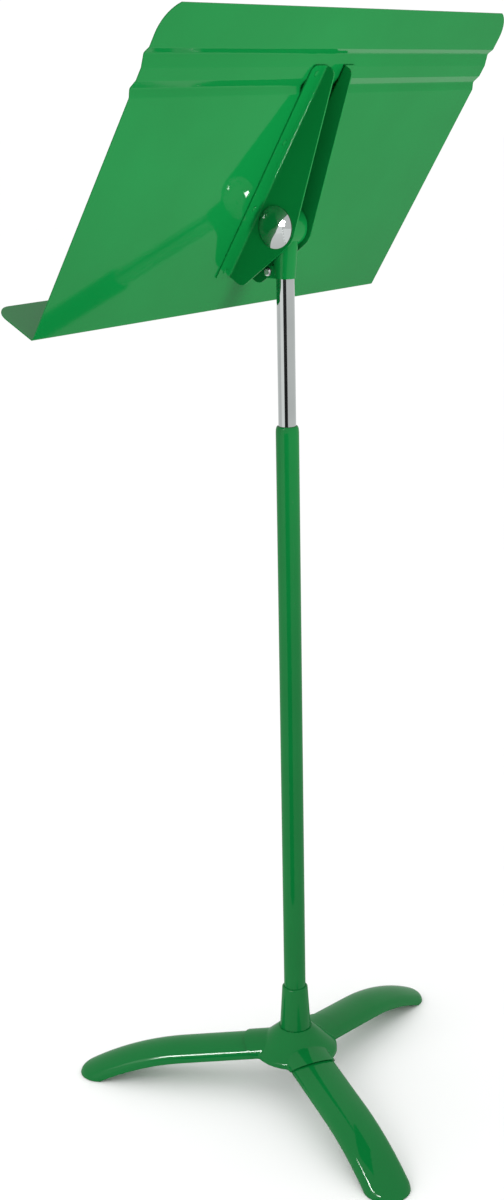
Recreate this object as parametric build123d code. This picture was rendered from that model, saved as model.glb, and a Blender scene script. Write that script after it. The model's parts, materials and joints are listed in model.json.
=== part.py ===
from build123d import *
from math import cos, hypot, radians, sin, sqrt, tan
import os

# Music stand with a folded sheet desk, a knobless telescopic mast and a three-leg pressed base.
# Millimetres. The origin is on the mast's axis at the floor, +Z is up and the desk faces -Y.

# Desk sheet
desk_width = 508.0
desk_height = 317.5         # from the lip's fold to the top edge, along the slope
desk_sheet = 1.0
desk_corner = 30.0          # radius of the two top corners
desk_trim = 3.0             # cut off the top after rounding, so the corners meet the edge at an angle
desk_lean = 31.7            # degrees from upright at rest
lip_depth = 53.5
lip_angle = 94.0            # degrees between the desk's face and the lip
lip_corner = 18.0
lip_fold = 2.5              # outside radius of the fold

# Two ribs pressed across the desk towards the player
rib_depth = 3.0
rib_below_top = 38.5        # from the top edge down to where the upper rib ends
rib_upper_step = 6.5
rib_upper_ramp = 11.0
rib_crown = 11.5            # flat strip between the two ribs, which carries the brackets' tops
rib_lower_ramp = 8.5
rib_lower_step = 6.5
rib_bend = 3.0

# Brackets: two folded angles on the desk's back
bracket_sheet = 1.5
bracket_gap = 25.0          # clear width between the two cheeks
bracket_flange = 19.0       # from the cheek's outer face outwards
bracket_fold = 1.5          # inside radius of the fold
bracket_foot = 41.5         # from the lip's fold up to the bracket's lower end
bracket_top_margin = 8.0    # past the middle of the crown
cheek_apex = 22.0           # radius of the cheek round the pivot
cheek_top_round = 6.0
cheek_top_rise = 12.5       # height of the cheek over the desk at its top end
cheek_foot_round = 9.5
cheek_foot_rise = 22.5      # height of the cheek over the desk at its lower end
flange_corner = 6.0

# Rivets through flange and desk
rivet_count = 4             # on each bracket
rivet_foot_margin = 6.5
rivet_radius = 2.0
rivet_head = 3.1
rivet_head_height = 1.2

# Pivot of the desk
pivot_up = 111.7            # from the lip's fold up the slope to the pivot
pivot_back = 24.5           # from the desk's back face to the pivot
pivot_radius = 4.0
hex_flats = 13.0
bolt_head_height = 5.0
pivot_nut_height = 3.6
pivot_spring_height = 1.2
pivot_spring_radius = 7.2
disc_radius = 16.0
disc_thickness = 1.0
cap_radius = 19.5
cap_height = 7.5
cap_wall = 0.8
cap_rim = 1.2               # straight rim before the dome starts
cap_grip_wall = 1.0

# Neck
neck_drop = 47.9            # from the pivot down to the neck's lower end
neck_head = 18.5            # radius of the round head
neck_head_bevel = 1.0
neck_foot = 9.7             # radius of the neck's lower end
neck_shoulder_x = 11.2
neck_shoulder_y = 13.8
neck_shoulder_drop = 8.0    # from the pivot down to where the shank is widest
neck_socket = 25.0          # depth of the tube's socket
lug_reach = 15.5            # from the mast's axis to the pinch screw
lug_half_width = 6.0
lug_round = 6.0
slit_width = 1.6
pinch_radius = 2.0
pinch_head = 3.9
pinch_head_height = 2.8
pinch_head_bevel = 1.2
pinch_flats = 7.0
pinch_nut_height = 3.2
thread_end = 0.3            # how far a thread stands out of its nut

# Mast tubes
inner_radius = 8.6
inner_wall = 1.2
inner_length = 600.0
socket_end_gap = 0.3        # over the tube's end in the neck
outer_radius = 11.3
outer_wall = 1.25
outer_length = 653.0
mouth_radius = 9.6          # outside of the rolled-in rim
mouth_roll = 6.0            # height of the rolled-in end
mouth_gap = 0.3             # between the rim and the inner tube
chrome_show = 139.8         # length of inner tube in view at rest
bush_length = 28.0

# Height clutch at the foot of the inner tube
spool_plug = 18.0
spool_flange = 2.5
spindle_radius = 5.0
spindle_length = 38.0
sleeve_end_gap = 0.3
finger_length = 25.0
finger_wall = 2.2
finger_slots = 4
finger_slot_width = 1.6
expander_sheet = 0.8
expander_height = 10.0
expander_opening = 40.0     # degrees
clutch_washer_height = 1.5
clutch_screw_radius = 2.5
clutch_screw_length = 14.0
clutch_head_radius = 4.5
clutch_head_height = 3.0

# Legs: pressed channels
leg_count = 3
base_turn = 1.6             # degrees that the base stands turned from the desk
leg_width = 46.5
leg_wall = 2.2
leg_rise = 15.0             # from the lower edge of the walls to the crown
leg_crown = 7.3             # how far the top bulges across the leg
leg_shoulder = 10.0
leg_root = 20.0             # from the mast's axis to the leg's inner end
leg_reach = 235.0           # from the mast's axis to the tip
leg_outer_run = 44.0        # from where the lines of the inner and the outer run cross to the tip
leg_bend_radius = 291.0
leg_slope = 7.0             # degrees, inner run
leg_dip = 34.0              # degrees, outer run
tip_crown_height = 4.8      # of the outer run's line over the floor at the tip
pad_proud = 0.8
pad_length = 20.0
pad_height = 9.0

# Hub and what clamps it
hub_wall = 2.0
hub_arm = 55.0              # reach of a socket along its crown
hub_arm_undercut = 13.0     # how much shorter the socket's lower edge is
hub_skirt = 44.0
hub_skirt_round = 4.0
hub_drop = 13.1             # from the legs' crown at the skirt down to the skirt's edge
hub_rise = 9.6              # from the crown line at the mast's axis up to the boss
hub_boss = 17.6
hub_cone = 42.0             # degrees of slope round the boss
hub_blend = 4.5             # radius where a socket runs into the skirt
collar_height = 47.0
collar_foot = 16.2
collar_top = 13.4
collar_rim_bevel = 1.2
plate_thickness = 3.5
plate_reach = 46.0
plate_root = 8.0            # inner end of a finger
plate_half_width = 12.0
plate_hub = 15.0            # radius of the round middle
plate_boss = 1.0            # how far the round middle stands below the fingers
plug_length = 26.0
base_bolt_radius = 4.0
base_bolt_grip = 18.0       # length of thread in the plug
base_head_height = 5.3
base_washer_radius = 9.0
base_washer_height = 1.6
tube_end_gap = 0.6          # from the crown line at the axis up to the outer tube's end

# Fits
running = 0.05              # radial, where one piece turns or slides in another
seated = 0.02               # radial, where a piece is pressed in or bolted up
socket_gap = 0.05           # between a leg and its socket

# Worked out from the sizes above
inner_bore = inner_radius - inner_wall
outer_bore = outer_radius - outer_wall
leg_bend_at = leg_reach - leg_outer_run
crown_slope = tan(radians(leg_slope))
crown_dip = tan(radians(leg_dip))
bend_height = tip_crown_height + leg_outer_run * crown_dip


def crown_line(reach):
    """Height of the leg's crown over the floor on the inner run."""
    return bend_height + (leg_bend_at - reach) * crown_slope


tip_middle = leg_reach - leg_width / 2
hub_top = crown_line(0) + hub_rise
hub_bottom = crown_line(hub_skirt) - hub_drop
plate_bottom = crown_line(plate_hub) - leg_wall - plate_thickness - plate_boss
tube_bottom = crown_line(0) + tube_end_gap
tube_top = tube_bottom + outer_length
neck_bottom = tube_top + chrome_show
pivot_height = neck_bottom + neck_drop
tube_inner_top = neck_bottom + neck_socket - socket_end_gap
tube_inner_bottom = tube_inner_top - inner_length
cheek_inside = bracket_gap / 2
cheek_outside = cheek_inside + bracket_sheet
head_half = cheek_inside - disc_thickness - running

# Heights up the slope of the desk, counted from the pivot
desk_fold = -pivot_up
desk_top = desk_fold + desk_height
rib_upper_end = desk_top - rib_below_top
rib_upper_low = rib_upper_end - rib_upper_step
rib_upper_start = rib_upper_low - rib_upper_ramp
rib_lower_end = rib_upper_start - rib_crown
rib_lower_low = rib_lower_end - rib_lower_ramp
rib_lower_start = rib_lower_low - rib_lower_step
crown_middle = rib_upper_start - rib_crown / 2
bracket_low = desk_fold + bracket_foot
bracket_high = crown_middle + bracket_top_margin
desk_back = pivot_back
desk_face = pivot_back + desk_sheet

# The desk's own frame: x across, y up the slope, z towards the player, origin on the pivot
desk_frame = Plane(
    origin=(0, 0, pivot_height),
    x_dir=(1, 0, 0),
    z_dir=(0, -cos(radians(desk_lean)), sin(radians(desk_lean))),
)
across = Plane.YZ           # sketches here are drawn in (y, z) and pulled along x


def on_desk(shape):
    """Move a piece from the desk's own frame to the stand's frame."""
    return desk_frame.location * shape


upright = Location()
sideways = Rot(0, 90, 0)    # takes a piece drawn along +Z to +X


def rod(radius, low, high, lie=upright):
    """Round bar on an axis through the origin, from low to high."""
    return lie * Pos(0, 0, (low + high) / 2) * Cylinder(radius, high - low)


def ring(outside, inside, low, high, lie=upright):
    """Round tube on an axis through the origin, from low to high."""
    return rod(outside, low, high, lie) - rod(inside, low - 1, high + 1, lie)


def hexagon(flats, low, high, lie=upright):
    """Hexagonal bar on an axis through the origin, from low to high."""
    return lie * Pos(0, 0, low) * extrude(RegularPolygon(flats / 2, 6, major_radius=False), high - low)


def turned_face(lines):
    """Solid of revolution about Z of a closed outline of lines and arcs drawn in (radius, height)."""
    return revolve(Plane.XZ * make_face(lines), Axis.Z)


def turned(*corners):
    """Solid of revolution about Z of an outline given as (radius, height) corners."""
    return turned_face(Polyline(*corners, close=True))


def mirrored(shape):
    """The same piece on the other side of the desk."""
    return mirror(shape, Plane.YZ)


def folded(radius, sheet, side, *corners):
    """Face of a sheet seen edge on: a line with rounded bends, thickened to one side."""
    return make_face(offset(FilletPolyline(*corners, radius=radius), sheet, side=side).edges())


def rivet_places():
    """Middle of each rivet in the desk's own frame."""
    middle = cheek_outside + bracket_flange / 2
    first = bracket_low + rivet_foot_margin
    pitch = (crown_middle - first) / (rivet_count - 1)
    heights = [first + pitch * i for i in range(rivet_count)]
    return [(side * middle, height) for side in (-1, 1) for height in heights]


def rivet_hole():
    """Hole for one rivet through flange and desk."""
    return rod(rivet_radius + seated, desk_back - bracket_sheet, desk_face)


def make_desk():
    """Sheet folded at the lip, with two ribs, rounded corners and rivet holes."""
    lean_in = radians(lip_angle - 90)
    lip_end = (desk_fold - lip_depth * sin(lean_in), desk_back + lip_depth * cos(lean_in))
    deep = desk_back + rib_depth
    profile = folded(
        [lip_fold] + [rib_bend] * 6,
        desk_sheet,
        Side.LEFT,
        lip_end,
        (desk_fold, desk_back),
        (rib_lower_start, desk_back),
        (rib_lower_low, deep),
        (rib_lower_end, desk_back),
        (rib_upper_start, desk_back),
        (rib_upper_low, deep),
        (rib_upper_end, desk_back),
        (desk_top + desk_trim, desk_back),
    )
    sheet = extrude(across * profile, desk_width / 2, both=True)

    def corners(height):
        near = sheet.edges().filter_by(lambda e: abs(e.center().Y - height) < desk_sheet)
        return near.filter_by(lambda e: abs(e.length - desk_sheet) < seated)

    sheet = fillet(corners(desk_top + desk_trim), desk_corner)
    sheet = fillet(corners(lip_end[0]), lip_corner)
    sheet -= Pos(0, desk_top + desk_trim, desk_back) * Box(desk_width, 2 * desk_trim, 2 * lip_depth)
    for place in rivet_places():
        sheet -= Pos(*place) * rivet_hole()
    return sheet


def make_bracket():
    """Folded angle on the +X side: a cheek round the pivot and a flange on the desk's back."""
    top_mid = (bracket_high - cheek_top_round, desk_back - cheek_top_rise + cheek_top_round)
    foot_mid = (bracket_low + cheek_foot_round, desk_back - cheek_foot_rise + cheek_foot_round)
    rounds = Circle(cheek_apex).edges()
    rounds += (Pos(*top_mid) * Circle(cheek_top_round)).edges()
    rounds += (Pos(*foot_mid) * Circle(cheek_foot_round)).edges()
    fold = Line((bracket_low, desk_back), (bracket_high, desk_back))
    edge = cheek_outside + bracket_flange
    angle = folded(
        bracket_fold + bracket_sheet,
        bracket_sheet,
        Side.RIGHT,
        (cheek_inside, -2 * cheek_apex),
        (cheek_inside, desk_back),
        (edge, desk_back),
    )
    strip = extrude(Plane.XZ * angle, desk_height, both=True)
    bracket = strip & extrude(across * make_hull(rounds + fold.edges()), edge)
    corners = bracket.edges().filter_by(Axis.Z).filter_by(lambda e: e.center().X > edge - seated)
    bracket = fillet(corners, flange_corner)
    bracket -= rod(pivot_radius + seated, 0, edge, sideways)
    for place in rivet_places():
        bracket -= Pos(*place) * rivet_hole()
    return bracket


def make_rivets():
    """All desk rivets: flush with the desk's face, with low heads on the flanges."""
    seat = desk_back - bracket_sheet
    rivet = rod(rivet_head, seat - rivet_head_height, seat) + rod(rivet_radius, seat, desk_face)
    return [Pos(*place) * rivet for place in rivet_places()]


def make_pivot_bolt():
    """Hexagon bolt through both cheeks and the neck's head, its head on the +X side."""
    end = -(cheek_outside + pivot_spring_height + pivot_nut_height + thread_end)
    head = hexagon(hex_flats, cheek_outside, cheek_outside + bolt_head_height, sideways)
    return head + rod(pivot_radius, end, cheek_outside, sideways)


def make_pivot_nut():
    """Thin nut on the -X side."""
    outer = -(cheek_outside + pivot_spring_height + pivot_nut_height)
    inner = -(cheek_outside + pivot_spring_height)
    bore = rod(pivot_radius + seated, outer - 1, inner + 1, sideways)
    return hexagon(hex_flats, outer, inner, sideways) - bore


def make_pivot_spring():
    """Dished spring washer under the nut, which keeps the discs pressed."""
    rim = cheek_outside
    crest = cheek_outside + pivot_spring_height
    bore = pivot_radius + seated
    sheet = pivot_spring_height / 2
    dished = turned(
        (bore, crest - sheet),
        (bore, crest),
        (pivot_spring_radius, rim + sheet),
        (pivot_spring_radius, rim),
    )
    return Rot(0, -90, 0) * dished


def make_friction_discs():
    """One disc on the inside of each cheek."""
    disc = ring(disc_radius, pivot_radius + seated, cheek_inside - disc_thickness, cheek_inside, sideways)
    return [disc, mirrored(disc)]


def make_cap():
    """Pressed dome over one end of the pivot bolt, with a sleeve that grips the hexagon's corners."""
    rise = cap_height - cap_rim
    curve = (cap_radius ** 2 + rise ** 2) / (2 * rise)
    grip = hex_flats / sqrt(3) + seated
    grip_outside = grip + cap_grip_wall
    ceiling = cap_height - cap_wall - curve + sqrt(curve ** 2 - grip_outside ** 2)
    rim_inside = cap_radius - cap_wall
    dome = turned_face([
        RadiusArc((0, cap_height), (cap_radius, cap_rim), curve),
        Polyline(
            (cap_radius, cap_rim),
            (cap_radius, 0),
            (rim_inside, 0),
            (grip_outside, ceiling),
            (grip_outside, 0),
            (grip, 0),
            (grip, ceiling),
            (0, ceiling),
            (0, cap_height),
        ),
    ])
    return Pos(cheek_outside, 0, 0) * sideways * dome


def make_neck():
    """Cast neck: round head, tapering shank with the tube's socket, and a slit clamp lug."""
    foot = neck_bottom - pivot_height
    head = rod(neck_head, -head_half, head_half, sideways)
    head = chamfer(head.edges().filter_by(GeomType.CIRCLE), neck_head_bevel)
    shank = loft([
        Pos(0, 0, foot) * Circle(neck_foot),
        Pos(0, 0, -neck_shoulder_drop) * Ellipse(neck_shoulder_x, neck_shoulder_y),
    ])
    lug_mid = (-lug_reach, foot + lug_round)
    rounds = (Pos(*lug_mid) * Circle(lug_round)).edges() + (Pos(0, lug_mid[1]) * Circle(lug_round)).edges()
    lug = extrude(across * make_hull(rounds), lug_half_width, both=True)
    body = head + shank + lug
    body -= rod(inner_radius + seated, foot - 1, foot + neck_socket)
    slit_height = neck_socket + slit_width
    body -= Pos(0, -lug_reach, foot + slit_height / 2) * Box(slit_width, 2 * lug_reach, slit_height)
    body -= Pos(0, *lug_mid) * rod(pinch_radius + seated, -neck_head, neck_head, sideways)
    body -= rod(pivot_radius + running, -neck_head, neck_head, sideways)
    return Pos(0, 0, pivot_height) * body


def lug_place():
    """Middle of the clamp lug's screw."""
    return Pos(0, -lug_reach, neck_bottom + lug_round)


def make_pinch_screw():
    """Pan-head screw across the lug, its head on the +X side."""
    end = -(lug_half_width + pinch_nut_height + thread_end)
    head = rod(pinch_head, lug_half_width, lug_half_width + pinch_head_height, sideways)
    head = chamfer(head.edges().sort_by(Axis.X)[-1], pinch_head_bevel)
    return lug_place() * (head + rod(pinch_radius, end, lug_half_width, sideways))


def make_pinch_nut():
    """Hexagon nut on the lug's -X side."""
    outer = -(lug_half_width + pinch_nut_height)
    nut = hexagon(pinch_flats, outer, -lug_half_width, sideways)
    return lug_place() * (nut - rod(pinch_radius + seated, outer - 1, 0, sideways))


def make_inner_tube():
    """Chrome tube from the neck's socket down to the clutch."""
    return ring(inner_radius, inner_bore, tube_inner_bottom, tube_inner_top)


def make_clutch_spool():
    """Plug in the foot of the inner tube, with a flange and a spindle for the sleeve."""
    low = tube_inner_bottom - spool_flange
    plug = rod(inner_bore - seated, tube_inner_bottom, tube_inner_bottom + spool_plug)
    flange = rod(inner_radius, low, tube_inner_bottom)
    foot = low - spindle_length
    spindle = rod(spindle_radius, foot, low)
    thread = rod(clutch_screw_radius + seated, foot - 1, foot + clutch_screw_length)
    return plug + flange + spindle - thread


def sleeve_ends():
    """Lower and upper end of the clutch sleeve on its spindle."""
    high = tube_inner_bottom - spool_flange - sleeve_end_gap
    return high - spindle_length + 2 * sleeve_end_gap, high


def make_clutch_sleeve():
    """Nylon sleeve that rubs in the outer tube, slit into fingers at its lower end."""
    low, high = sleeve_ends()
    outside = outer_bore - running
    sleeve = ring(outside, spindle_radius + running, low, high)
    sleeve -= rod(outside - finger_wall, low - 1, low + finger_length)
    slot = Box(outside + 2, finger_slot_width, finger_length)
    slot = Pos(outside / 2, 0, low + finger_length / 2 - 1) * slot
    for i in range(finger_slots):
        sleeve -= Rot(0, 0, 360 / finger_slots * i) * slot
    return sleeve


def make_clutch_spring():
    """Open spring band that pushes the fingers outwards."""
    outside = outer_bore - running - finger_wall - seated
    middle = sleeve_ends()[0] + finger_length / 2
    half = expander_height / 2
    band = ring(outside, outside - expander_sheet, middle - half, middle + half)
    opening = 2 * outside * sin(radians(expander_opening / 2))
    return band - Pos(outside, 0, middle) * Box(outside, opening, 2 * expander_height)


def make_clutch_washer():
    """Washer that keeps the sleeve on its spindle."""
    low = tube_inner_bottom - spool_flange - spindle_length
    return ring(inner_radius, clutch_screw_radius + seated, low - clutch_washer_height, low)


def make_clutch_screw():
    """Screw up into the spindle."""
    seat = tube_inner_bottom - spool_flange - spindle_length - clutch_washer_height
    head = rod(clutch_head_radius, seat - clutch_head_height, seat)
    return head + rod(clutch_screw_radius, seat, seat + clutch_screw_length)


def make_outer_tube():
    """Painted tube whose mouth is rolled in round the inner tube."""
    shoulder = tube_top - mouth_roll
    mouth = inner_radius + mouth_gap
    return turned_face([
        EllipticalCenterArc((mouth_radius, shoulder), outer_radius - mouth_radius, mouth_roll),
        Polyline(
            (mouth_radius, tube_top),
            (mouth, tube_top),
            (mouth, shoulder),
            (outer_bore, shoulder),
            (outer_bore, tube_bottom),
            (outer_radius, tube_bottom),
            (outer_radius, shoulder),
        ),
    ])


def make_guide_bush():
    """Nylon bush under the rolled mouth."""
    high = tube_top - mouth_roll
    return ring(outer_bore - seated, inner_radius + running, high - bush_length, high)


def make_tube_plug():
    """Threaded plug in the foot of the outer tube."""
    return ring(outer_bore - seated, base_bolt_radius + seated, tube_bottom, tube_bottom + plug_length)


def make_collar():
    """Tapered collar pressed on the tube, standing on the hub's boss."""
    high = hub_top + collar_height
    bore = outer_radius + seated
    return turned(
        (bore, hub_top),
        (collar_foot, hub_top),
        (collar_top, high - collar_rim_bevel),
        (collar_top - collar_rim_bevel, high),
        (bore, high),
    )


def leg_form(grow, start):
    """Solid form of one leg along +X from start, grown on all sides; a negative growth gives its hollow."""
    before = start - leg_rise
    past = leg_reach + leg_width
    path = FilletPolyline(
        (before, 0, crown_line(before) + grow),
        (leg_bend_at, 0, bend_height + grow),
        (past, 0, tip_crown_height + grow - (past - leg_reach) * crown_dip),
        radius=leg_bend_radius,
    )
    half = leg_width / 2 + grow
    curve = (leg_width ** 2 / 4 + leg_crown ** 2) / (2 * leg_crown)
    wide = half + leg_wall
    wide_sag = curve - sqrt(curve ** 2 - wide ** 2)
    depth = leg_rise + abs(grow)
    outline = make_face([
        ThreePointArc((-wide, -wide_sag), (0, 0), (wide, -wide_sag)),
        Polyline((wide, -wide_sag), (wide, -depth), (-wide, -depth), (-wide, -wide_sag)),
    ])
    bar = sweep(Plane(origin=path @ 0, x_dir=(0, 1, 0), z_dir=path % 0) * outline, path)
    straight = Pos((start + tip_middle) / 2, 0) * Rectangle(tip_middle - start, 2 * half)
    form = bar & extrude(straight + Pos(tip_middle, 0) * Circle(half), 2 * leg_reach)

    def on_outline(edge):
        middle = edge @ 0.5
        return hypot(max(middle.X - tip_middle, 0), middle.Y) > half - seated

    upward = 0.5                # least upward part of a top face's normal
    tops = form.faces().filter_by(lambda f: f.normal_at().Z > upward)
    return fillet(tops.edges().filter_by(on_outline), leg_shoulder + grow)


def round_base(shape):
    """Copies of a piece drawn along +X, one for each leg."""
    first = base_turn + 180
    return [Rot(0, 0, first + 360 / leg_count * i) * shape for i in range(leg_count)]


def make_leg():
    """Pressed channel with a rounded tip, open underneath and cut level at the foot."""
    below = Pos(leg_reach, 0, pad_proud / 2) * Box(2 * leg_reach, leg_reach, pad_proud)
    return leg_form(0, leg_root) - leg_form(-leg_wall, leg_root - leg_wall) - below


def make_foot_pad():
    """Rubber plug that fills the tip of one leg and stands proud of it."""
    block = Pos(leg_reach - pad_length / 2, 0, pad_height / 2) * Box(pad_length, leg_width, pad_height)
    return leg_form(-leg_wall - seated, leg_root) & block


def hub_dome(inset):
    """Round form of the hub between its sockets; the inset gives its hollow."""
    steep = radians(hub_cone)
    top = hub_top - inset
    boss = hub_boss - inset * tan(steep / 2)
    skirt = hub_skirt - inset
    low = hub_bottom - inset
    brow = FilletPolyline(
        (boss, top),
        (skirt, top - (skirt - boss) * tan(steep)),
        (skirt, low),
        radius=hub_skirt_round - inset,
    )
    return turned_face([brow, Polyline((skirt, low), (0, low), (0, top), (boss, top))])


def make_hub_shell():
    """Pressed shell with a round skirt, a boss for the collar and one socket for each leg."""
    arm_top = crown_line(hub_arm) + socket_gap + hub_wall
    arm_foot = hub_arm - hub_arm_undercut
    lean = hub_arm_undercut / (arm_top - hub_bottom)
    side = make_face(Polyline(
        (0, hub_bottom),
        (arm_foot, hub_bottom),
        (arm_foot + lean * (hub_top - hub_bottom), hub_top),
        (0, hub_top),
        close=True,
    ))
    arm = leg_form(socket_gap + hub_wall, 0) & extrude(Plane.XZ * side, leg_width, both=True)
    arms = round_base(arm)
    dome = hub_dome(0)
    shell = dome + arms
    shell = fillet(new_edges(dome, *arms, combined=shell), hub_blend)
    hollow = hub_dome(hub_wall) + round_base(leg_form(socket_gap, 0))
    return shell - hollow - rod(outer_radius + seated, hub_bottom, hub_top + 1)


def make_clamp_plate():
    """Cast spider that presses the legs up into the hub, one finger in each channel."""
    grow = -leg_wall - seated
    layer = leg_form(grow, plate_root) - leg_form(grow - plate_thickness, 0)
    middle = ((plate_root + plate_reach) / 2, 0, hub_top / 2)
    finger = layer & Pos(*middle) * Box(plate_reach - plate_root, 2 * plate_half_width, hub_top)
    plate = rod(plate_hub, plate_bottom, plate_bottom + plate_boss + plate_thickness) + round_base(finger)
    return plate - rod(base_bolt_radius + running, 0, hub_top)


def make_base_washer():
    """Washer between the bolt's head and the clamp plate."""
    low = plate_bottom - base_washer_height
    return ring(base_washer_radius, base_bolt_radius + running, low, plate_bottom)


def make_base_bolt():
    """Hexagon bolt from below, up into the tube's plug."""
    seat = plate_bottom - base_washer_height
    head = hexagon(hex_flats, seat - base_head_height, seat)
    return head + rod(base_bolt_radius, seat, tube_bottom + base_bolt_grip)


def make_stand():
    """Every piece of the stand in its place at rest, by name."""
    bracket = make_bracket()
    cap = make_cap()
    leg_side, leg_front, leg_back = round_base(make_leg())
    desk_pieces = {
        "desk": make_desk(),
        "bracket_left": bracket,
        "bracket_right": mirrored(bracket),
        "desk_rivets": make_rivets(),
        "pivot_bolt": make_pivot_bolt(),
        "pivot_nut": make_pivot_nut(),
        "pivot_spring": make_pivot_spring(),
        "friction_discs": make_friction_discs(),
        "cap_left": cap,
        "cap_right": mirrored(cap),
    }
    stand = {
        "neck": make_neck(),
        "pinch_screw": make_pinch_screw(),
        "pinch_nut": make_pinch_nut(),
        "inner_tube": make_inner_tube(),
        "clutch_spool": make_clutch_spool(),
        "clutch_sleeve": make_clutch_sleeve(),
        "clutch_spring": make_clutch_spring(),
        "clutch_washer": make_clutch_washer(),
        "clutch_screw": make_clutch_screw(),
        "outer_tube": make_outer_tube(),
        "guide_bush": make_guide_bush(),
        "tube_plug": make_tube_plug(),
        "collar": make_collar(),
        "hub_shell": make_hub_shell(),
        "leg_side": leg_side,
        "leg_front": leg_front,
        "leg_back": leg_back,
        "clamp_plate": make_clamp_plate(),
        "base_washer": make_base_washer(),
        "base_bolt": make_base_bolt(),
        "foot_pads": round_base(make_foot_pad()),
    }
    for name, piece in desk_pieces.items():
        stand[name] = [on_desk(p) for p in piece] if isinstance(piece, list) else on_desk(piece)
    return stand


os.makedirs("parts", exist_ok=True)
for name, piece in make_stand().items():
    export_step(Compound(piece) if isinstance(piece, list) else piece, f"parts/{name}.step")
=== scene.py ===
import json
import math

import bmesh
import bpy
from mathutils import Matrix, Vector


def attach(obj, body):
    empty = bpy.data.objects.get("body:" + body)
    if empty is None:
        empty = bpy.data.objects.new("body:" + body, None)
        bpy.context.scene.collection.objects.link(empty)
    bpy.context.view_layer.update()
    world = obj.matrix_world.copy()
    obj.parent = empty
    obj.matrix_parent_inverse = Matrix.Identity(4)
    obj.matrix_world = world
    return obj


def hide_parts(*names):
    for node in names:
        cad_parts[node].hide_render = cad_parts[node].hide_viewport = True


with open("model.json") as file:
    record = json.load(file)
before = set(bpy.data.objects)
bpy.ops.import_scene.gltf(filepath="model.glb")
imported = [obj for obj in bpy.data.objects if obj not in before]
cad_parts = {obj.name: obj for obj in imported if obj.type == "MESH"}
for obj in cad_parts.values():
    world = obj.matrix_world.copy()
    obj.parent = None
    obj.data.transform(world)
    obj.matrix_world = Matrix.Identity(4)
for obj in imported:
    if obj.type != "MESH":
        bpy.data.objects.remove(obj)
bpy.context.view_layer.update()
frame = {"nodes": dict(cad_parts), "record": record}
nodes = frame["nodes"]
scene = bpy.context.scene

# Camera at the photograph's viewing angle
CAMERA_PLACE = (1.309454, 1.011005, 1.024148)
CAMERA_YAW = -141.042       # degrees, direction of view from +X
CAMERA_PITCH = 16.370       # degrees downwards
CAMERA_ROLL = -1.138
CAMERA_LENS = 52.43         # for a sensor 36 mm along the image's long side
SENSOR = 36.0

# Domed rivets in place of the plain ones
DESK_LEAN = 31.7            # degrees from upright
RIVET_SHANK = 0.0020
RIVET_HEAD = 0.0031
RIVET_DOME = 0.0012         # height of the head
RIVET_RIM = 0.0002          # upright edge under the dome
RIVET_END = 0.00015         # chamfer of the end in the desk's face
RIVET_TURNS = 28            # points round the axis
RIVET_STEPS = 6             # rings over the dome
RIVET_CREASE = 40.0         # degrees from which an edge stays sharp
JOIN = 1e-6                 # points closer than this are one

# Levels of a noise between which roughness runs from its lowest to its highest
NOISE_LEVELS = (0.3, 0.7)

# Rounds on the edges of pressed and cast pieces
ROUNDED = ("desk", "bracket_left", "bracket_right", "neck", "collar", "hub_shell")
EDGE_ROUND = 0.0005
EDGE_STEPS = 3
EDGE_ANGLE = 35.0           # degrees from which an edge is rounded
FLAT_ANGLE = 0.5            # degrees up to which faces count as one

# Studio
FLOOR_HALF = 30.0
WORLD_STRENGTH = 1.04

# Dark card low before the camera, seen in reflections only
CARD_BEARING = 27.0         # degrees from +X, seen from the mast
CARD_SPREAD = 21.0          # degrees to each side
CARD_NEAR = 0.45            # distance and height of its two ends
CARD_FAR = 2.25
CARD_NEAR_HEIGHT = 0.01
CARD_FAR_HEIGHT = 0.66
CARD_GLOWS = 7              # lights along it, for the caps alone
CARD_GLOW = 1.35            # their radiance
CARD_LIFT = 0.002           # their height over the card


def make_camera():
    """Camera of the photograph's view."""
    yaw, pitch, roll = (math.radians(a) for a in (CAMERA_YAW, CAMERA_PITCH, CAMERA_ROLL))
    ahead = Vector((math.cos(yaw) * math.cos(pitch), math.sin(yaw) * math.cos(pitch), -math.sin(pitch)))
    level = Vector((math.sin(yaw), -math.cos(yaw), 0.0))
    above = level.cross(ahead)
    right = math.cos(roll) * level + math.sin(roll) * above
    up = -math.sin(roll) * level + math.cos(roll) * above
    data = bpy.data.cameras.new("camera")
    data.sensor_width = SENSOR
    data.sensor_height = SENSOR
    data.lens = CAMERA_LENS
    data.clip_start = 0.01
    data.clip_end = 200.0
    data.dof.use_dof = False
    camera = bpy.data.objects.new("camera", data)
    turn = Matrix((right, up, -ahead)).transposed().to_4x4()
    camera.matrix_world = Matrix.Translation(CAMERA_PLACE) @ turn
    scene.collection.objects.link(camera)
    scene.camera = camera


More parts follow.
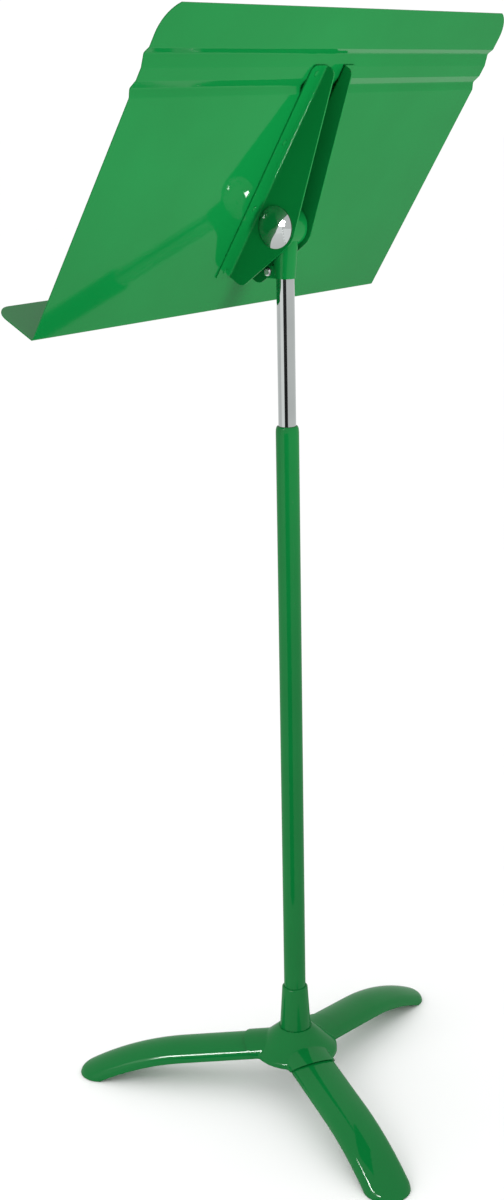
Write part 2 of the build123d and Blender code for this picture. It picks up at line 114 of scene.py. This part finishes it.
class Material:
    """A principled material whose nodes are added one by one."""

    def __init__(self, name, **values):
        self.made = bpy.data.materials.new(name)
        self.made.use_nodes = True
        self.tree = self.made.node_tree
        self.shader = self.tree.nodes["Principled BSDF"]
        for socket, value in values.items():
            self.shader.inputs[socket.replace("_", " ")].default_value = value
        self.place = self.node("ShaderNodeTexCoord").outputs["Object"]

    def node(self, kind):
        return self.tree.nodes.new(kind)

    def link(self, source, socket):
        self.tree.links.new(source, socket)

    def noise(self, scale, detail=2.0, roughness=0.5, stretch=None):
        """Noise over the object, in waves per metre; stretch scales the three axes."""
        made = self.node("ShaderNodeTexNoise")
        made.inputs["Scale"].default_value = scale
        made.inputs["Detail"].default_value = detail
        made.inputs["Roughness"].default_value = roughness
        source = self.place
        if stretch:
            mapping = self.node("ShaderNodeMapping")
            mapping.inputs["Scale"].default_value = stretch
            self.link(source, mapping.inputs["Vector"])
            source = mapping.outputs["Vector"]
        self.link(source, made.inputs["Vector"])
        return made.outputs["Fac"]

    def ramp(self, value, first, last):
        """A change from one colour to another, each given with the level of the noise that it starts at."""
        made = self.node("ShaderNodeValToRGB")
        for point, (at, colour) in zip(made.color_ramp.elements, (first, last)):
            point.position = at
            point.color = (*colour, 1.0)
        self.link(value, made.inputs["Fac"])
        return made.outputs["Color"]

    def span(self, value, low, high):
        """A number spread over a range, between two levels of the noise."""
        made = self.node("ShaderNodeMapRange")
        made.inputs["From Min"].default_value, made.inputs["From Max"].default_value = NOISE_LEVELS
        made.inputs["To Min"].default_value = low
        made.inputs["To Max"].default_value = high
        self.link(value, made.inputs["Value"])
        return made.outputs["Result"]

    def bump(self, height, strength, distance, below=None):
        """Unevenness of the surface, on top of another one where below gives it."""
        made = self.node("ShaderNodeBump")
        made.inputs["Strength"].default_value = strength
        made.inputs["Distance"].default_value = distance
        self.link(height, made.inputs["Height"])
        if below:
            self.link(below, made.inputs["Normal"])
        return made.outputs["Normal"]

    def to(self, socket, value):
        """Let a value drive one of the shader's sockets."""
        self.link(value, self.shader.inputs[socket])


def green_paint():
    """Gloss enamel: faint shade changes under a clear, slightly wavy coat."""
    m = Material("green_paint", Specular_IOR_Level=0.0, Coat_Weight=0.34, Coat_Roughness=0.05, Coat_IOR=1.5)
    shade = m.noise(9.0, 3.0)
    m.to("Base Color", m.ramp(shade, (0.35, (0.0024, 0.146, 0.0285)), (0.65, (0.0027, 0.158, 0.0315))))
    m.to("Roughness", m.span(m.noise(55.0, 4.0), 0.10, 0.17))
    peel = m.bump(m.noise(420.0, 2.0), 0.05, 0.0002)
    wave = m.bump(m.noise(14.0, 1.0), 0.03, 0.002, peel)
    m.to("Normal", wave)
    m.to("Coat Normal", wave)
    return m.made


def chrome():
    """Bright plate with faint drawing lines along the tube."""
    m = Material("chrome", Metallic=1.0)
    lines = m.noise(900.0, 3.0, stretch=(1.0, 1.0, 0.004))
    m.to("Base Color", m.ramp(m.noise(30.0), (0.3, (0.385, 0.410, 0.402)), (0.7, (0.420, 0.445, 0.437))))
    m.to("Roughness", m.span(lines, 0.03, 0.06))
    m.to("Normal", m.bump(lines, 0.02, 0.0001))
    return m.made


def zinc_steel():
    """Zinc-plated steel with a dull spangle."""
    m = Material("zinc_steel", Metallic=1.0)
    m.to("Base Color", m.ramp(m.noise(260.0, 4.0), (0.3, (0.46, 0.47, 0.48)), (0.7, (0.64, 0.65, 0.65))))
    m.to("Roughness", m.span(m.noise(500.0, 3.0), 0.24, 0.40))
    m.to("Normal", m.bump(m.noise(900.0), 0.08, 0.0001))
    return m.made


def nylon():
    """Natural nylon, slightly waxy."""
    m = Material("nylon", Subsurface_Weight=0.15)
    m.shader.inputs["Subsurface Radius"].default_value = (0.002, 0.002, 0.0015)
    m.to("Base Color", m.ramp(m.noise(80.0, 3.0), (0.3, (0.62, 0.60, 0.54)), (0.7, (0.72, 0.71, 0.66))))
    m.to("Roughness", m.span(m.noise(300.0), 0.38, 0.52))
    m.to("Normal", m.bump(m.noise(700.0), 0.06, 0.0001))
    return m.made


def rubber():
    """Black moulded rubber with a fine grain."""
    m = Material("rubber")
    grain = m.noise(1500.0, 3.0)
    m.to("Base Color", m.ramp(grain, (0.3, (0.012, 0.012, 0.012)), (0.7, (0.03, 0.03, 0.03))))
    m.to("Roughness", m.span(grain, 0.62, 0.85))
    m.to("Normal", m.bump(grain, 0.35, 0.0002))
    return m.made


def fibre():
    """Dense brown friction fibre."""
    m = Material("fibre")
    fleck = m.noise(1100.0, 5.0, 0.7)
    m.to("Base Color", m.ramp(fleck, (0.35, (0.05, 0.028, 0.016)), (0.65, (0.16, 0.09, 0.05))))
    m.to("Roughness", m.span(fleck, 0.7, 0.9))
    m.to("Normal", m.bump(fleck, 0.3, 0.0002))
    return m.made


def dress_nodes():
    """Give each CAD node the material of its slot."""
    makers = {f.__name__: f for f in (green_paint, chrome, zinc_steel, nylon, rubber, fibre)}
    ready = {}
    for row in frame["record"]["subparts"]:
        slot = row["material_slot"]
        if slot not in ready:
            ready[slot] = makers[slot]()
        node = nodes[row["node"]]
        node.data.materials.clear()
        node.data.materials.append(ready[slot])
        for face in node.data.polygons:
            face.material_index = 0
    return ready


def loose_parts(node):
    """Points of each separate solid in a node."""
    form = bmesh.new()
    form.from_mesh(node.data)
    bmesh.ops.remove_doubles(form, verts=form.verts, dist=JOIN)
    seen = set()
    parts = []
    for first in form.verts:
        if first in seen:
            continue
        seen.add(first)
        front = [first]
        points = []
        while front:
            corner = front.pop()
            points.append(node.matrix_world @ corner.co)
            for edge in corner.link_edges:
                other = edge.other_vert(corner)
                if other not in seen:
                    seen.add(other)
                    front.append(other)
        parts.append(points)
    form.free()
    return parts


def rivet_profile(low, high):
    """Radius and height from the end in the desk's face to the top of the dome."""
    seat = high - RIVET_DOME
    rim = seat + RIVET_RIM
    points = [
        (0.0, low),
        (RIVET_SHANK - RIVET_END, low),
        (RIVET_SHANK, low + RIVET_END),
        (RIVET_SHANK, seat),
        (RIVET_HEAD, seat),
    ]
    for i in range(RIVET_STEPS):
        turn = math.pi / 2 * i / RIVET_STEPS
        points.append((RIVET_HEAD * math.cos(turn), rim + (high - rim) * math.sin(turn)))
    points.append((0.0, high))
    return points


def make_rivets(material):
    """Rivets with domed heads, turned about the axes of the CAD's rivets."""
    lean = math.radians(DESK_LEAN)
    axis = Vector((0.0, math.cos(lean), -math.sin(lean)))
    across = Vector((1.0, 0.0, 0.0))
    upward = Vector((0.0, math.sin(lean), math.cos(lean)))
    form = bmesh.new()
    for points in loose_parts(nodes["desk_rivets"]):
        spans = [[p.dot(way) for p in points] for way in (across, upward, axis)]
        foot = across * (min(spans[0]) + max(spans[0])) / 2 + upward * (min(spans[1]) + max(spans[1])) / 2
        rings = []
        for radius, height in rivet_profile(min(spans[2]), max(spans[2])):
            ring = []
            for i in range(RIVET_TURNS if radius else 1):
                turn = 2 * math.pi * i / RIVET_TURNS
                outward = across * math.cos(turn) + upward * math.sin(turn)
                ring.append(form.verts.new(foot + axis * height + outward * radius))
            rings.append(ring)
        for lower, upper in zip(rings, rings[1:]):
            for i in range(RIVET_TURNS):
                corners = [lower[i % len(lower)], lower[(i + 1) % len(lower)],
                           upper[(i + 1) % len(upper)], upper[i % len(upper)]]
                form.faces.new(list(dict.fromkeys(corners)))
    bmesh.ops.recalc_face_normals(form, faces=form.faces)
    mesh = bpy.data.meshes.new("rivets")
    form.to_mesh(mesh)
    form.free()
    mesh.shade_smooth()
    mesh.set_sharp_from_angle(angle=math.radians(RIVET_CREASE))
    mesh.materials.append(material)
    rivets = bpy.data.objects.new("rivets", mesh)
    scene.collection.objects.link(rivets)
    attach(rivets, "desk_unit")
    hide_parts("desk_rivets")
    return rivets


def round_edges(node):
    """Soften a node's sharp edges by a small round."""
    weld = node.modifiers.new("weld", "WELD")
    weld.merge_threshold = JOIN
    flat = node.modifiers.new("flat", "DECIMATE")
    flat.decimate_type = "DISSOLVE"
    flat.angle_limit = math.radians(FLAT_ANGLE)
    bevel = node.modifiers.new("bevel", "BEVEL")
    bevel.limit_method = "ANGLE"
    bevel.angle_limit = math.radians(EDGE_ANGLE)
    bevel.width = EDGE_ROUND
    bevel.segments = EDGE_STEPS
    bevel.use_clamp_overlap = True
    node.modifiers.new("shading", "WEIGHTED_NORMAL")


def area_light(name, place, aim, size, radiance, spread=180.0, diffuse=True, gloss=True, only=()):
    """A soft rectangular light that the camera doesn't see.

    Without diffuse it only draws highlights, without gloss it draws none. Given only, it lights just these
    pieces.
    """
    data = bpy.data.lights.new(name, "AREA")
    data.shape = "RECTANGLE"
    data.size, data.size_y = size
    data.energy = radiance * math.pi * size[0] * size[1]
    data.spread = math.radians(spread)
    light = bpy.data.objects.new(name, data)
    light.location = place
    light.rotation_mode = "QUATERNION"
    light.rotation_quaternion = (Vector(aim) - Vector(place)).to_track_quat("-Z", "Y")
    light.visible_camera = False
    light.visible_diffuse = diffuse
    light.visible_glossy = gloss
    scene.collection.objects.link(light)
    if only:
        lit = bpy.data.collections.new(name + "_lit")
        for piece in only:
            lit.objects.link(piece)
        light.light_linking.receiver_collection = lit


def flat_piece(name, corners, low, high, grain):
    """A plain matt sheet of the studio, with a slight change of shade."""
    mesh = bpy.data.meshes.new(name)
    mesh.from_pydata(corners, [], [(0, 1, 2, 3)])
    piece = bpy.data.objects.new(name, mesh)
    scene.collection.objects.link(piece)
    m = Material(name, Specular_IOR_Level=0.0)
    m.to("Base Color", m.ramp(m.noise(grain, 4.0), (0.3, (low,) * 3), (0.7, (high,) * 3)))
    m.to("Roughness", m.span(m.noise(40.0), 0.6, 0.7))
    mesh.materials.append(m.made)
    return piece


def card_corner(turn, distance, height):
    """Corner of the card, turned from its bearing."""
    bearing = math.radians(CARD_BEARING + turn)
    return distance * math.cos(bearing), distance * math.sin(bearing), height


def make_studio():
    """Pale floor, and a dark card for the chrome to mirror."""
    corners = [(x * FLOOR_HALF, y * FLOOR_HALF, 0.0) for x, y in ((-1, -1), (1, -1), (1, 1), (-1, 1))]
    flat_piece("floor", corners, low=0.96, high=0.98, grain=3.0)
    corners = [
        card_corner(-CARD_SPREAD, CARD_NEAR, CARD_NEAR_HEIGHT),
        card_corner(CARD_SPREAD, CARD_NEAR, CARD_NEAR_HEIGHT),
        card_corner(CARD_SPREAD, CARD_FAR, CARD_FAR_HEIGHT),
        card_corner(-CARD_SPREAD, CARD_FAR, CARD_FAR_HEIGHT),
    ]
    card = flat_piece("card", corners, low=0.02, high=0.04, grain=2.0)
    card.visible_camera = False
    card.visible_diffuse = False
    card.visible_shadow = False


def light_card(caps):
    """Lights on the card for the caps alone, whose domes would mirror all of it."""
    half = math.radians(CARD_SPREAD)
    near, far = (d * math.cos(half) for d in (CARD_NEAR, CARD_FAR))
    slope = math.atan2(CARD_FAR_HEIGHT - CARD_NEAR_HEIGHT, far - near)
    bearing = math.radians(CARD_BEARING)
    out = Vector((math.cos(bearing), math.sin(bearing), 0.0))
    facing = Vector((0.0, 0.0, math.cos(slope))) - out * math.sin(slope)
    ends = [near * (far / near) ** (i / CARD_GLOWS) for i in range(CARD_GLOWS + 1)]
    for i, (start, end) in enumerate(zip(ends, ends[1:])):
        middle = (start + end) / 2
        height = CARD_NEAR_HEIGHT + (middle - near) * math.tan(slope)
        place = out * middle + Vector((0.0, 0.0, height)) + facing * CARD_LIFT
        size = (2 * middle * math.tan(half), (end - start) / math.cos(slope))
        area_light("card_glow_%d" % i, place, place + facing, size, CARD_GLOW, diffuse=False, only=caps)


def make_light(rivets):
    """White surroundings with soft lights in them."""
    world = bpy.data.worlds.new("studio")
    world.use_nodes = True
    background = world.node_tree.nodes["Background"]
    background.inputs["Color"].default_value = (1.0, 1.0, 1.0, 1.0)
    background.inputs["Strength"].default_value = WORLD_STRENGTH
    scene.world = world
    caps = [nodes["cap_left"], nodes["cap_right"]]
    brackets = [nodes["bracket_left"], nodes["bracket_right"]]

    # Light from behind and from the side
    area_light("key", place=(0.3, 1.7, 0.25), aim=(0.05, 0.1, 1.0), size=(0.8, 0.4), radiance=1.8,
               spread=36.0, gloss=False)
    area_light("box", place=(2.45, -0.52, 0.8), aim=(0.0, 0.0, 0.8), size=(1.5, 1.6), radiance=0.4)
    area_light("side", place=(2.3, -0.4, 1.9), aim=(0.0, 0.0, 0.9), size=(1.2, 1.0), radiance=2.5)

    # Highlights on the brackets' folds, the rivets, the desk's ribs and lip, the legs and the caps
    area_light("low", place=(0.30, 0.74, 0.05), aim=(0.03, 0.06, 0.95), size=(0.12, 0.12), radiance=2.5,
               spread=30.0, diffuse=False, only=caps + brackets + [rivets])
    area_light("ribs", place=(-1.45, -0.2, 0.1), aim=(0.0, 0.1, 1.04), size=(0.3, 1.5), radiance=0.8,
               diffuse=False, only=[nodes["desk"]])
    area_light("lip", place=(-1.44, -0.58, 1.87), aim=(0.2, -0.1, 0.83), size=(1.2, 1.0), radiance=0.65,
               diffuse=False, only=[nodes["desk"]])
    area_light("glint_leg_front", place=(1.70, 0.10, 1.45), aim=(0.07, -0.11, 0.03), size=(0.6, 0.45),
               radiance=2.2, spread=32.0, diffuse=False)
    area_light("glint_leg_back", place=(1.32, -0.66, 1.65), aim=(0.085, 0.16, 0.03), size=(0.9, 0.35),
               radiance=2.2, spread=32.0, diffuse=False, only=[nodes["leg_back"]])
    area_light("cap_key", place=(1.494, 0.011, 1.177), aim=(0.02, 0.0, 0.899), size=(0.64, 0.40),
               radiance=100.0, diffuse=False, only=caps)
    light_card(caps)


scene.view_settings.view_transform = "Standard"
make_camera()
materials = dress_nodes()
for name in ROUNDED:
    round_edges(nodes[name])
rivets = make_rivets(materials["green_paint"])
make_studio()
make_light(rivets)
